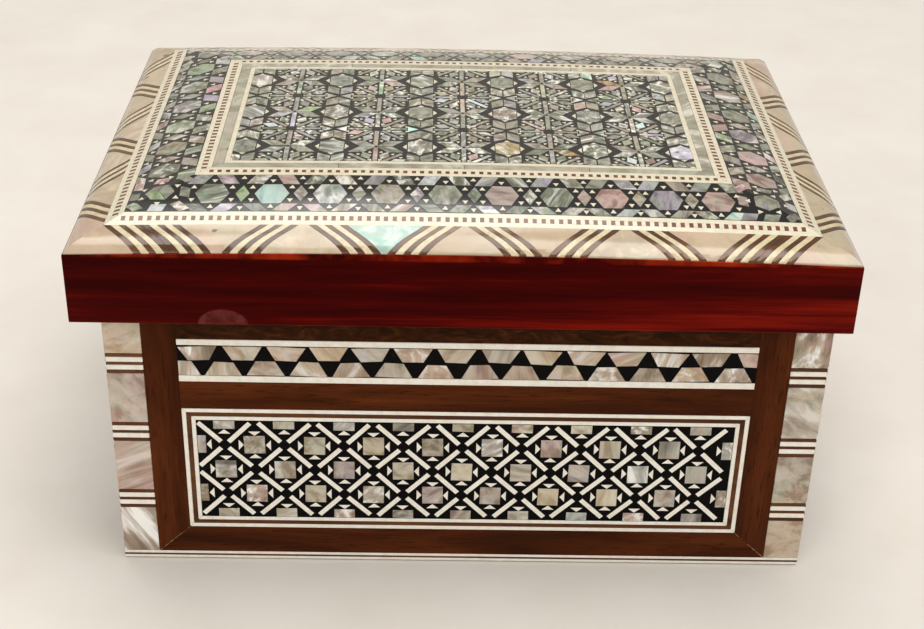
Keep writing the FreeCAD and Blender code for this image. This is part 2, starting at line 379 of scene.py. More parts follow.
def nacre(name, grounds, patches, painted_flash, streak_scale, clouds=160, hollow=0.7, **shader_settings):
    """Polished shell: a ground colour chosen for each tile, cloudy patches of other colours,
    and fine streaks whose direction also changes from tile to tile."""
    shell = new_finish(name, **shader_settings)
    place = place_on(shell)
    tint, chance = tints_of(shell)
    ground = shades(shell, chance["X"], grounds)
    spin = vectors(shell, "MULTIPLY", tint, FULL_TURN)
    turned = add(shell, "VectorRotate", {"Vector": place, "Rotation": spin}, rotation_type="EULER_XYZ")
    turned = vectors(shell, "ADD", turned.outputs["Vector"], tint)
    cloud = noise(shell, stretched(shell, turned, 0, 0.6), clouds, 3, 0.5, 1.0)
    where = noise(shell, turned, clouds * 0.7, 2, 0.5, 0.5)
    cover = shades(shell, where, [(0.4, 0.0), (0.62, 0.6)])
    body = mixed(shell, cover, ground, shades(shell, cloud, patches))
    # Growth lines: dark hollows, and bright crests that only some tiles show strongly. The crests
    # are a painted highlight, the pearly flash of tiles that catch the light.
    streak = noise(shell, stretched(shell, turned, 0, 0.09), streak_scale, 4, 0.6, 0.4)
    body = mixed(shell, shades(shell, streak, [(0.36, hollow), (0.5, 0.0)]), body,
                 mixed(shell, 1.0, body, ground, "MULTIPLY"))
    crests = mixed(shell, 1.0, shades(shell, streak, [(0.51, 0.0), (0.63, 1.0)]),
                   shades(shell, chance["Y"], [(0.3, 0.15), (0.85, 1.0)]), "MULTIPLY")
    body = mixed(shell, crests, body, colour(*painted_flash))
    # Here and there a worm hole or a spot of brown skin was left in the shell.
    spots = noise(shell, place, 230, 2, 0.4)
    body = mixed(shell, shades(shell, spots, [(0.735, 0.0), (0.76, 0.8)]), body, colour(84, 70, 56))
    give(shell, "Base Color", body)
    give(shell, "Roughness", shades(shell, cloud, [(0.3, 0.22), (0.7, 0.4)]))
    bumps(shell, streak, 0.00003, 0.5)
    return shell


WAXED = {"Coat_Weight": 0.2, "Coat_Roughness": 0.2}
pearl = nacre(
    "mother_of_pearl",
    [(0.0, (194, 172, 147)), (0.18, (162, 143, 125)), (0.36, (206, 185, 158)), (0.5, (180, 149, 140)),
     (0.64, (186, 178, 162)), (0.8, (156, 137, 117)), (1.0, (204, 178, 153))],
    [(0.3, (208, 166, 162)), (0.42, (202, 181, 153)), (0.5, (174, 179, 156)), (0.58, (212, 191, 167)),
     (0.7, (180, 178, 184))],
    (250, 247, 240), 330, 120, Specular_IOR_Level=0.4, **WAXED)
# The small squares of the lattice come from odd corners of many shells, so they differ more.
square_pearl = nacre(
    "lattice_pearl",
    [(0.0, (146, 126, 126)), (0.15, (188, 177, 150)), (0.3, (168, 165, 156)), (0.45, (176, 146, 137)),
     (0.55, (152, 140, 117)), (0.7, (206, 192, 164)), (0.82, (134, 128, 118)), (0.92, (190, 159, 141)),
     (1.0, (172, 184, 179))],
    [(0.3, (190, 155, 156)), (0.42, (196, 180, 147)), (0.5, (160, 171, 152)), (0.58, (206, 190, 169)),
     (0.7, (166, 171, 182))],
    (246, 244, 236), 420, 190, Specular_IOR_Level=0.4, **WAXED)

ZIGZAG_PITCH = 8.84
TOOTH = 3.35
ROW_SHIFT = 4.9
HANGING = four_sided((-2.2, 2.2), (-4.1, 4.1), 0, TOOTH)
STANDING = four_sided((-4.0, 4.0), (-2.0, 2.0), 0, TOOTH + 0.15)
for side in SIDES:
    half, bottom, top = reach(side, "zigzag_band")
    teeth = math.ceil(half / ZIGZAG_PITCH) + 1
    start = 2.4 if side in ("front", "back") else 0.0
    upper = [(start - ROW_SHIFT + ZIGZAG_PITCH * k, top - TOOTH, 0) for k in range(-teeth, teeth + 1)]
    lower = [(start + ZIGZAG_PITCH * k, bottom, 0) for k in range(-teeth, teeth + 1)]
    tiles = lay(HANGING, pearl, upper, 0.22) + lay(STANDING, pearl, lower, 0.22)
    band = assemble(f"{side}_zigzag_teeth", tiles)
    saw_to(band, half - 0.05, bottom + 0.02, top - 0.02)
    thicken(band, 0.05, 0.6)
    ease(band, 0.07)
    put_on_side(band, side)

# ---- Lattice panels ----
# The main panel of each side: squares of pearl, each in a diamond of four bone bars, with a
# small bone triangle at the middle of every edge of the square. All are set in the mastic.


def polished_bone(name, dark, middle, light, **shader_settings):
    """Bone has soft mottling, and short brown specks where its grain was cut across."""
    material = new_finish(name, Roughness=0.38, **shader_settings)
    place = place_on(material)
    mottle = noise(material, place, 700, 4, 0.6)
    specks = noise(material, place, 3200, 2, 0.5)
    ivory = shades(material, mottle, [(0.3, dark), (0.5, middle), (0.7, light)])
    grain = shades(material, specks, [(0.7, 0.0), (0.8, 0.35)])
    give(material, "Base Color", mixed(material, grain, ivory, colour(160, 128, 92)))
    bumps(material, mottle, 0.00003, 0.5)
    return material


bone = polished_bone("bone", (230, 220, 202), (239, 232, 217), (245, 240, 229), **WAXED)
lid_bone = polished_bone("varnished_bone", (200, 190, 162), (210, 201, 175), (218, 210, 187), **VARNISH)

STEP = 6.33
# The last column was pushed up against the string, so that less of its squares is left.
PUSHED_UP = 1.0
# Nearer to the edge of the panel than this, a square is cut in half.
EDGE = 2
SQUARE = oblong(-2.25, 2.25, -2.25, 2.25)
BAR = oblong(-3.35, 3.35, -0.54, 0.54)
POINT = [(2.35, 0), (3.45, -1.35), (3.45, 1.35)]
for side in SIDES:
    half, bottom, top = reach(side, "lattice_panel")
    centre = (bottom + top) / 2 + 0.1
    shift = -0.7 if side in ("front", "back") else 0.0
    across, up = math.ceil(half / STEP), math.ceil((top - bottom) / 2 / STEP)
    cells = [(i, j) for i in range(-across, across + 1) for j in range(-up, up + 1)]
    squares, bars = [], []
    for i, j in cells:
        x, y = shift + STEP * i, centre + STEP * j
        bar_x = shift + STEP * (i + 0.5)
        if (i + j) % 2 == 0:
            squares.append((x + (PUSHED_UP if shift and x > half - EDGE else 0), y, 0))
        if abs(bar_x) < half:
            bars.append((bar_x, centre + STEP * (j + 0.5), 135 if (i + j) % 2 == 0 else 45))
    # A square that is cut in half has only the triangle that points inwards.
    points = [(x, y, turn) for x, y, _ in squares for turn in (0, 90, 180, 270)
              if (abs(abs(x) - half) > EDGE or turn in (0, 180))
              and (min(top - y, y - bottom) > EDGE or turn in (90, 270))]
    panes = assemble(f"{side}_lattice_panes", lay(SQUARE, square_pearl, squares, 0.1))
    lattice = assemble(f"{side}_lattice_bars", lay(BAR, bone, bars, 0.08) + lay(POINT, bone, points, 0.06))
    for sheet, slot in ((panes, "pearl_mosaic"), (lattice, "bone_string")):
        saw_to(sheet, half - 0.05, bottom + 0.05, top - 0.05)
        thicken(sheet, 0.05, 0.6)
        ease(sheet, 0.06)
        put_on_side(sheet, side)

# ---- Strings of the case ----
# Cream, brown and cream lines mitred round each lattice panel, a cream line above and below
# each zigzag band, and a cream, dark and cream string round the foot.

line_wood = timber("line_wood", 0, (64, 34, 14), (94, 54, 26), (120, 76, 40), 0.5,
                   Specular_IOR_Level=0.15)


def mitred_line(half_width, bottom, top, start, width, material):
    """Four lengths of string round a rectangle. Start is how far in the line begins."""
    gap = 0.04
    tiles = []
    inner = start + width
    half_height = (top - bottom) / 2
    for turn in (0, 90, 180, 270):
        long, tall = (half_width, half_height) if turn % 180 == 0 else (half_height, half_width)
        foot, head = long - start - gap, long - inner - gap
        length = four_sided((-foot, foot), (-head, head), start - tall, inner - tall)
        tiles += lay(length, material, [(0, 0, turn)])
    for tile in tiles:
        tile.data.transform(Matrix.Translation((0, (bottom + top) / 2, 0)))
    return tiles


# How far in each line starts, its width and what it is.
PANEL_LINES = ((0.04, 0.9, bone), (1.0, 0.9, line_wood), (1.96, 0.9, bone))
for side in SIDES:
    half, bottom, top = reach(side, "strings")
    _, panel_bottom, panel_top = reach(side, "lattice_panel")
    frame_top = panel_top + panel_bottom - bottom
    _, band_bottom, band_top = reach(side, "zigzag_band")
    tiles = []
    for start, width, material in PANEL_LINES:
        tiles += mitred_line(half, bottom, frame_top, start, width, material)
    for low, high in ((band_bottom - 1.56, band_bottom - 0.08), (band_top + 0.08, top - 0.06)):
        tiles.append(cut_tile(oblong(-half, half, low, high), bone))
    strings = assemble(f"{side}_laid_strings", tiles)
    thicken(strings, 0.02, 1.4)
    ease(strings, 0.08)
    put_on_side(strings, side)
    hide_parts(f"{side}_strings")


glue = new_finish("old_glue", Roughness=0.6, Specular_IOR_Level=0.2)
crumbs = noise(glue, place_on(glue), 900, 3, 0.6)
give(glue, "Base Color", shades(glue, crumbs, [(0.4, (70, 36, 18)), (0.6, (168, 136, 100))]))
for side in SIDES:
    # A little pale glue shows in the two mitres at the foot of the frame.
    half, bottom, _ = reach(side, "strings")
    stile_half, _, _ = reach(side, "stiles")
    _, foot, _ = reach(side, "rails")
    seam = [(half, bottom), (half + 0.01, bottom - 0.11), (stile_half - 0.1, foot + 0.05),
            (stile_half - 0.05, foot + 0.2)]
    tiles = [cut_tile(seam, glue), cut_tile([(-x, y) for x, y in reversed(seam)], glue)]
    seams = assemble(f"{side}_glue_seams", tiles)
    thicken(seams, 0.01, 0.3)
    put_on_side(seams, side)


def mitre_corners(piece, half_width):
    """Saws the upright edges at 45 degrees, so that two sides meet at the corner of the case."""
    for sign in (-1, 1):
        saw(piece, (sign * (half_width - 0.01), 0, 0), (sign, 0, -1), discard=True, cap=True)


# How high each line starts, its width and what it is.
FOOT_LINES = ((0.0, 0.62, bone), (0.66, 0.42, line_wood), (1.12, 0.66, bone))
for side in SIDES:
    half, _, _ = reach(side, "corner_strips")
    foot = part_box("base_string")[0].z * 1000
    tiles = [cut_tile(oblong(-half, half, foot + rise, foot + rise + width), material)
             for rise, width, material in FOOT_LINES]
    strings = assemble(f"{side}_foot_strings", tiles)
    thicken(strings, 0.0, 1.45)
    mitre_corners(strings, half)
    ease(strings, 0.07)
    put_on_side(strings, side)
    if side == "front":
        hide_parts("base_string")

# ---- Corner strips ----
# Upright strips of pearl at both ends of each side, mitred into those of the next side. Three
# groups of thin brown and cream lines divide each strip.

GROUP_LINES = [(0.0, 0.85, line_wood), (0.85, 1.2, bone), (2.05, 0.7, line_wood), (2.75, 1.2, bone),
               (3.95, 0.85, line_wood)]
GROUP_HEIGHT = 4.8
LEFT_GROUPS = (13.9, 31.4, 48.4)
RIGHT_GROUPS = (12.4, 29.5, 47.2)
for side in SIDES:
    half, bottom, top = reach(side, "corner_strips")
    inner = reach(side, "stiles")[0] + 0.06
    tiles = []
    for left, right, groups in ((-half, -inner, LEFT_GROUPS), (inner, half, RIGHT_GROUPS)):
        edges = [bottom]
        for z in groups:
            edges += [z, z + GROUP_HEIGHT]
            for rise, width, material in GROUP_LINES:
                low, high = z + rise + 0.02, z + rise + width - 0.02
                tiles.append(cut_tile(oblong(left, right, low, high), material))
        edges.append(top)
        for low, high in zip(edges[::2], edges[1::2]):
            tiles.append(cut_tile(oblong(left, right, low + 0.04, high - 0.04), pearl))
    strips = assemble(f"{side}_pearl_corners", tiles)
    thicken(strips, 0.0, 1.45)
    mitre_corners(strips, half)
    ease(strips, 0.1)
    put_on_side(strips, side)
    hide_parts(f"{side}_corner_strips")

# ---- Lid skirt ----
# Four mitred rails, stained and varnished deep red, with a painted orange highlight along the
# top arris. The varnish lies in streaks along the grain.

LID_RAILS = {"lid_front_rail": 0, "lid_back_rail": 0, "lid_left_rail": 1, "lid_right_rail": 1}
CREST = 0.0781
skirt_low, skirt_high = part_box("lid_front_rail")
# Where the scuff lies, and how far it reaches each way.
SCUFF = (-0.0482, skirt_low.y, skirt_low.z)
SCUFF_REACH = (0.0052, 0.001, 0.0036)


def graded(material, value, start, end, low=0.0, high=1.0):
    """A number that goes from low to high as a value goes from start to end."""
    inputs = {"Value": value, "From Min": start, "From Max": end, "To Min": low, "To Max": high}
    return add(material, "MapRange", inputs).outputs["Result"]


for name, along in LID_RAILS.items():
    lacquer = new_finish(f"{name}_lacquer", Roughness=0.3, Specular_Tint=colour(170, 30, 22))
    place = place_on(lacquer)
    broad = noise(lacquer, stretched(lacquer, place, along, 0.05), 330, 4, 0.6, 0.4)
    fine = noise(lacquer, stretched(lacquer, place, along, 0.03), 1900, 3, 0.6)
    spot = add(lacquer, "SeparateXYZ", {"Vector": place}).outputs
    # The skirt is darker in its upper part than in the lower part.
    lower = graded(lacquer, spot["Z"], CREST - 0.003, skirt_low.z + 0.003, -0.07, 0.05)
    # Painted light: the skirt is lighter towards the right, where the light falls, so the right rail is
    # lighter than the left one.
    right = graded(lacquer, spot["X"], -0.06, 0.06, -0.03, 0.04)
    drawn = maths(lacquer, "ADD", maths(lacquer, "ADD", broad, lower), right)
    red = shades(lacquer, drawn, [(0.32, (36, 0, 0)), (0.48, (58, 2, 1)), (0.58, (84, 6, 2)),
                                  (0.72, (116, 18, 5))])
    red = mixed(lacquer, 0.5, red, shades(lacquer, fine, [(0.35, 0.5), (0.62, 1.0)]), "MULTIPLY")
    # Along the top arris, a painted orange highlight in patches, mostly towards the right.
    crest = graded(lacquer, spot["Z"], CREST - 0.0005, CREST + 0.0002)
    patchy = maths(lacquer, "ADD", noise(lacquer, place, 55, 4, 0.7), right)
    arris_highlight = mixed(lacquer, 1.0, shades(lacquer, crest, [(0.2, 0.0), (0.8, 1.0)]),
                   shades(lacquer, patchy, [(0.42, 0.0), (0.68, 0.8)]), "MULTIPLY")
    red = mixed(lacquer, arris_highlight, red, colour(170, 48, 14))
    if name == "lid_front_rail":
        # A rounded scuff at the lower edge, left of the middle, where the varnish has gone cloudy.
        from_scuff = vectors(lacquer, "DIVIDE", vectors(lacquer, "SUBTRACT", place, SCUFF), SCUFF_REACH)
        away = add(lacquer, "VectorMath", {0: from_scuff}, operation="LENGTH").outputs["Value"]
        worn = noise(lacquer, place, 450, 4, 0.7)
        cloudy = mixed(lacquer, 1.0, shades(lacquer, away, [(0.93, 0.42), (1.0, 0.0)]),
                       shades(lacquer, worn, [(0.35, 0.35), (0.6, 1.0)]), "MULTIPLY")
        red = mixed(lacquer, cloudy, red, colour(128, 66, 60))
    give(lacquer, "Base Color", red)
    bumps(lacquer, broad, 0.00012, 0.3)
    dress([name], lacquer)
ease_edges(LID_RAILS, 0.0003)

# ---- Lid border ----
# The sloping edge of the lid: large plates of pearl between groups of five slanting lines,
# brown and cream by turns. Each side is a separate length, mitred at the corners.

EDGE_TOP = 78.1
ARCH = 1.24
CROWN_RISE = 6.5
CROWN_RUN = 28.5
BORDER_ROLL = 0.55
LID_HALF_X, LID_HALF_Y = skirt_high.x * 1000, -skirt_low.y * 1000


def inset_of(node):
    """How far in from the lid's edge a ring of the inlay starts, in millimetres."""
    return LID_HALF_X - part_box(node)[1].x * 1000


def lid_side(turn):
    """Half the length of the side of the lid at this turn, and how far out it lies."""
    return (LID_HALF_X, LID_HALF_Y) if turn % 180 == 0 else (LID_HALF_Y, LID_HALF_X)


def lay_on_crown(piece):
    """Bends a flat sheet, drawn in plan in millimetres, to the pillow shape of the lid."""
    mesh = piece.data
    places = np.empty(len(mesh.vertices) * 3)
    mesh.vertices.foreach_get("co", places)
    x, y, z = places.reshape(-1, 3).T
    inset = np.clip(np.minimum(LID_HALF_X - abs(x), LID_HALF_Y - abs(y)), 0, CROWN_RUN)
    z += EDGE_TOP + CROWN_RISE * (1 - (1 - inset / CROWN_RUN) ** 2) + ARCH * (1 - (x / LID_HALF_X) ** 2)
    # The border was filed rounder towards the skirt than the rest of the crown. The roll is
    # highest a third of the way across, and 27/4 brings that height to BORDER_ROLL.
    across = np.clip(inset / inset_of("lid_outer_string"), 0, 1)
    z += BORDER_ROLL * 27 / 4 * across * (1 - across) ** 2
    mesh.vertices.foreach_set("co", places / 1000)
    mesh.update()


def score(piece, insets, pitch):
    """Cuts a flat sheet along lines that keep it close to the curve of the lid."""
    for inset in insets:
        for sign in (-1, 1):
            saw(piece, (0, sign * (LID_HALF_Y - inset), 0), (0, 1, 0))
            saw(piece, (sign * (LID_HALF_X - inset), 0, 0), (1, 0, 0))
    steps = int(LID_HALF_X / pitch)
    for step in range(-steps, steps + 1):
        saw(piece, (step * pitch, 0, 0), (1, 0, 0))
    for sign_x in (-1, 1):
        for sign_y in (-1, 1):
            saw(piece, (sign_x * LID_HALF_X, sign_y * LID_HALF_Y, 0), (sign_x, -sign_y, 0))


def put_on_lid(piece):
    """Bends a finished sheet of tiles to the lid and fixes it there."""
    tint_tiles(piece)
    lay_on_crown(piece)
    smooth(piece, 30)
    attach(piece, "lid")


border_pearl = nacre(
    "border_pearl",
    [(0.0, (184, 162, 131)), (0.2, (173, 152, 124)), (0.4, (189, 169, 140)), (0.55, (184, 156, 135)),
     (0.7, (172, 158, 129)), (0.85, (186, 166, 137)), (1.0, (178, 154, 128))],
    [(0.3, (191, 156, 142)), (0.42, (189, 167, 137)), (0.52, (170, 167, 139)), (0.6, (193, 174, 146)),
     (0.72, (165, 171, 148))],
    (201, 182, 156), 260, 70, 0.2, **VARNISH)
aqua_pearl = nacre(
    "aqua_pearl", [(0.0, (148, 182, 168)), (1.0, (160, 188, 172))],
    [(0.35, (124, 184, 174)), (0.5, (194, 184, 162)), (0.65, (136, 190, 180))],
    (204, 214, 200), 260, 120, 0.2, **VARNISH)

stripe_wood = timber("border_line_wood", 0, (66, 36, 12), (92, 56, 24), (118, 80, 40), 0.5, **VARNISH)
stripe_bone = polished_bone("border_line_bone", (184, 168, 130), (199, 184, 147), (210, 197, 162), **VARNISH)
border_out, border_in = inset_of("lid_right_border"), inset_of("lid_outer_string")
BORDER_LINES = [(-3.8, 1.5, stripe_wood), (-2.3, 1.6, stripe_bone), (-0.7, 1.4, stripe_wood),
                (0.7, 1.6, stripe_bone), (2.3, 1.5, stripe_wood)]
GROUP_HALF = 3.8
# The middle of each group along its side, and which way it leans: 1 is away from the middle.
LONG_GROUPS = [(7.9, -1), (23.8, 1), (40.4, -1), (57.1, 1), (64.7, 1)]
SHORT_GROUPS = [(8.1, 1), (24.2, -1), (40.4, 1)]
# One plate of the front, left of the middle, was cut from the blue-green part of a shell.
AQUA_FROM, AQUA_TO = -24, -8
NARROWEST = 0.3
for side, turn in SIDES.items():
    half, away = lid_side(turn)
    groups = LONG_GROUPS if turn % 180 == 0 else SHORT_GROUPS
    outer_y, inner_y = border_out - away, border_in - away
    # Each mark is the middle of a group and how far it leans from its middle to its inner end.
    marks = sorted([(sign * middle, sign * way) for middle, way in groups for sign in (-1, 1)])
    marks = [(middle, way * (border_in - border_out) / 2) for middle, way in marks]
    tiles = []
    for middle, lean in marks:
        for start, width, material in BORDER_LINES:
            near, far = middle + start + 0.03, middle + start + width - 0.03
            stripe = four_sided((near - lean, far - lean), (near + lean, far + lean), outer_y, inner_y)
            tiles.append(cut_tile(stripe, material))
    # Each plate fills the space from one group to the next, and the end ones run into the mitre.
    outer_ends, inner_ends = [-half + border_out], [-half + border_in]
    for middle, lean in marks:
        outer_ends += [middle - GROUP_HALF - lean, middle + GROUP_HALF - lean]
        inner_ends += [middle - GROUP_HALF + lean, middle + GROUP_HALF + lean]
    outer_ends.append(half - border_out)
    inner_ends.append(half - border_in)
    for number in range(0, len(outer_ends), 2):
        out_left, out_right = outer_ends[number] + 0.04, outer_ends[number + 1] - 0.04
        in_left, in_right = inner_ends[number] + 0.04, inner_ends[number + 1] - 0.04
        if max(out_right - out_left, in_right - in_left) < NARROWEST:
            continue
        outline = four_sided((out_left, out_right), (in_left, in_right), outer_y, inner_y)
        if in_right - in_left <= NARROWEST:
            outline[2:] = [((in_left + in_right) / 2, inner_y)]
        blue_green = side == "front" and AQUA_FROM < (out_left + out_right) / 2 < AQUA_TO
        tiles.append(cut_tile(outline, aqua_pearl if blue_green else border_pearl))
    border = assemble(f"lid_{side}_pearl_border", tiles)
    border.data.transform(Matrix.Rotation(math.radians(turn), 4, "Z"))
    score(border, (0.5, 1.1, 1.8, 2.6, 3.6, 4.8, 6.0), 11.0)
    thicken(border, 0.03, 1.1)
    ease(border, 0.06)
    put_on_lid(border)
    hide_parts(f"lid_{side}_border")

# ---- Dotted strings of the lid ----
# Two bought-in strings, inside and outside the band of shell: a row of brown blocks between
# two cream lines, mitred at the corners of the lid.

dot_wood = new_finish("dot_wood", Roughness=0.5, **VARNISH)
place = place_on(dot_wood)
_, chance = tints_of(dot_wood)
fibre = noise(dot_wood, place, 2500, 3, 0.6)
brown = shades(dot_wood, chance["X"], [(0.0, (84, 44, 24)), (0.5, (112, 66, 42)), (0.8, (126, 58, 50)),
                                  (1.0, (100, 72, 40))])
shade = shades(dot_wood, fibre, [(0.3, 0.5), (0.7, 1.0)])
give(dot_wood, "Base Color", mixed(dot_wood, 0.5, brown, shade, "MULTIPLY"))
bumps(dot_wood, fibre, 0.00003, 0.5)

DOT_PITCH = 1.75
DOT = 0.86
for ring, ring_in in (("lid_outer_string", "lid_mosaic_band"), ("lid_inner_string", "lid_shell_strip")):
    start, end = inset_of(ring), inset_of(ring_in)
    middle, line = (start + end) / 2, (end - start) / 3
    tiles = []
    for number in range(3):
        tiles += mitred_line(LID_HALF_X, -LID_HALF_Y, LID_HALF_Y, start + number * line + 0.02, line - 0.04,
                             lid_bone)
    cream = assemble(f"{ring}_lines", tiles)
    score(cream, [middle], 8.0)
    thicken(cream, 0.02, 1.1)
    places = []
    for turn in (0, 90, 180, 270):
        half, away = lid_side(turn)
        count = round(2 * (half - middle) / DOT_PITCH) - 1
        for number in range(count):
            along = (number - (count - 1) / 2) * DOT_PITCH
            spot = Matrix.Rotation(math.radians(turn), 2) @ Vector((along, middle - away))
            places.append((*spot, turn))
    block = oblong(-DOT / 2, DOT / 2, -line / 2, line / 2)
    dots = assemble(f"{ring}_dots", lay(block, dot_wood, places, 0.05))
    thicken(dots, 0.05, 0.3)
    for piece in (cream, dots):
        put_on_lid(piece)
    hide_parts(ring)

# ---- Band of shell ----
# Between the dotted strings: abalone hexagons and narrow rhombi in a row, slanting pieces
# along both edges, and small white triangles in the corners between them.

# The rare pale pink, lilac, white-blue and mint grounds are painted flashes of tiles that catch the light.
abalone = nacre(
    "abalone",
    [(0.0, (104, 107, 89)), (0.12, (132, 127, 107)), (0.22, (95, 99, 86)), (0.32, (153, 138, 116)),
     (0.42, (115, 120, 102)), (0.5, (171, 140, 131)), (0.57, (128, 129, 107)), (0.64, (140, 132, 138)),
     (0.71, (193, 155, 151)), (0.76, (119, 121, 106)), (0.82, (140, 158, 116)), (0.87, (166, 153, 173)),
     (0.91, (113, 116, 100)), (0.945, (195, 197, 197)), (0.965, (140, 184, 167)), (0.985, (153, 110, 53))],
    [(0.3, (173, 142, 142)), (0.4, (119, 123, 104)), (0.48, (141, 158, 129)), (0.55, (128, 125, 109)),
     (0.62, (156, 151, 166)), (0.72, (173, 158, 135))],
    (210, 206, 195), 520, 230, **VARNISH)

band_out, band_in = inset_of("lid_mosaic_band"), inset_of("lid_inner_string")
HEXAGON = [(-3.5, 0), (-1.9, -3.15), (1.9, -3.15), (3.5, 0), (1.9, 3.15), (-1.9, 3.15)]
RHOMBUS = [(-1.45, 0), (0, -2.7), (1.45, 0), (0, 2.7)]
POINT_UP = [(-0.6, -0.48), (0.6, -0.48), (0, 0.62)]
FACET = [(0, 0), (2.6, -1.5), (2.6, 1.5), (0, 3.0)]
CORNER_SLIP = [(-1.9, -1.0), (1.2, -1.0), (1.9, 1.0), (-1.2, 1.0)]
CORNER_SLIPS = [(4.7, 4.5, 45), (-4.2, -5.0, 0), (4.6, -4.7, 45), (5.1, 0.2, 90), (-4.7, 4.7, 45),
                (0.3, -5.1, 180), (0.2, 5.1, 0), (-5.0, 0.0, 90)]
shell_tiles, point_tiles = [], []
for side, turn in SIDES.items():
    half, away = lid_side(turn)
    foot = band_out - away
    row = foot + 5.6
    # On the long sides the maker set the hexagons closer and closer together, to fit the last one in.
    hexes = [-51.3 + 12.15 * k - 0.075 * k ** 2 for k in range(10)] if turn % 180 == 0 else [
        11.6 * (k - 2.5) for k in range(6)]
    gaps = [(near + far) / 2 for near, far in zip(hexes, hexes[1:])]
    shell = lay(HEXAGON, abalone, [(x, row, 0) for x in hexes], 0.12)
    shell += lay(RHOMBUS, abalone, [(x, row, 0) for x in gaps], 0.15)
    points = []
    for lean in (-1, 1):
        # The slips slant away from the hexagons, along the outer edge and the inner edge of the band.
        for way, broad, slant, low, high in ((lean, 1.65, 0.95, 0.12, 2.3), (-lean, 1.7, 0.8, 8.9, 12.35)):
            slant *= lean
            slip = four_sided((-broad - slant, broad - slant), (-broad + slant, broad + slant), low, high)
            shell += lay(slip, abalone, [(x + way * 2.95, foot, 0) for x in hexes], 0.1)
        for rise, half_turn in ((2.2, 0), (-2.2, 180)):
            points += lay(POINT_UP, lid_bone, [(x + lean * 3.95, row + rise, half_turn) for x in hexes], 0.1)
    for middles, rise, half_turn in ((hexes, 1.5, 0), (gaps, 0.95, 180), (hexes, 10.0, 180), (gaps, 11.2, 0)):
        points += lay(POINT_UP, lid_bone, [(x, foot + rise, half_turn) for x in middles], 0.08)
    # In the corner, three rhombi make one six-sided cluster with smaller pieces round it.
    corner = Vector((half - (band_out + band_in) / 2, (band_out + band_in) / 2 - away))
    shell += lay(FACET, abalone, [(*corner, angle) for angle in (60, 180, 300)], 0.05)
    for angle in range(0, 360, 60):
        ray = Vector((math.cos(math.radians(angle)), math.sin(math.radians(angle))))
        points += lay(POINT_UP, lid_bone, [(*(corner + ray * 4.048), angle - 90)], 0.08)
    slips = [(corner.x + x, corner.y + y, angle) for x, y, angle in CORNER_SLIPS]
    shell += lay(CORNER_SLIP, abalone, slips, 0.1)
    for tile in shell + points:
        tile.data.transform(Matrix.Rotation(math.radians(turn), 4, "Z"))
    shell_tiles += shell
    point_tiles += points
band_shell = assemble("lid_band_shell", shell_tiles)
band_points = assemble("lid_band_points", point_tiles)
for sheet, slot in ((band_shell, "abalone_mosaic"), (band_points, "bone_string")):
    saw_to(sheet, LID_HALF_X - band_out - 0.08, -LID_HALF_Y + band_out + 0.08, LID_HALF_Y - band_out - 0.08)
    score(sheet, (12.9, 15.0, 17.1, 19.2, 21.3), 200.0)
    thicken(sheet, 0.07, 0.5)
    ease(sheet, 0.06)
    put_on_lid(sheet)

# ---- Shell strip and inner line ----
# A narrow strip of grey shell in short lengths, and a thin cream line, frame the panel.

grey_shell = nacre(
    "grey_shell",
    [(0.0, (144, 138, 118)), (0.3, (166, 156, 136)), (0.6, (128, 128, 112)), (0.8, (174, 164, 144)),
     (1.0, (152, 148, 130))],
    [(0.35, (168, 150, 138)), (0.5, (144, 150, 126)), (0.65, (176, 170, 152))],
    (208, 204, 188), 300, 110, 0.4, **VARNISH)

strip_out, line_out = inset_of("lid_shell_strip"), inset_of("lid_inner_line")
panel_out = inset_of("lid_centre_panel")
tiles = []
for turn in (0, 90, 180, 270):
    half, away = lid_side(turn)
    pieces_along = 4 if turn % 180 == 0 else 2
    outer = np.linspace(-half + strip_out, half - strip_out, pieces_along + 1)
    inner = outer.copy()
    inner[0], inner[-1] = -half + line_out, half - line_out
    for number in range(pieces_along):
        foot = (outer[number] + 0.04, outer[number + 1] - 0.04)
        head = (inner[number] + 0.04, inner[number + 1] - 0.04)
        length = four_sided(foot, head, strip_out - away + 0.03, line_out - away - 0.03)
        tiles += lay(length, grey_shell, [(0, 0, turn)])
strip = assemble("lid_laid_shell_strip", tiles)
line = assemble("lid_laid_inner_line", mitred_line(LID_HALF_X, -LID_HALF_Y, LID_HALF_Y, line_out,
                                                   panel_out - line_out, lid_bone))
for piece, node, slot in ((strip, "lid_shell_strip", "abalone_mosaic"),
                          (line, "lid_inner_line", "bone_string")):
    score(piece, [(strip_out + line_out) / 2], 8.0)
    thicken(piece, 0.03, 1.1)
    ease(piece, 0.06)
    put_on_lid(piece)
    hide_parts(node)

# ---- Centre panel ----
# A repeating star pattern in abalone: hexagons in rows with eight slanting pieces round each,
# and between them eight-rayed stars of thin slips with rhombi and tiny triangles.

PITCH = 18.85
panel_x, panel_y = LID_HALF_X - panel_out, LID_HALF_Y - panel_out


def mirrored(outline, flip_x, flip_y):
    """The outline reflected left to right, top to bottom or both, still anticlockwise."""
    corners = outline if flip_x == flip_y else outline[::-1]
    return [(x * flip_x, y * flip_y) for x, y in corners]


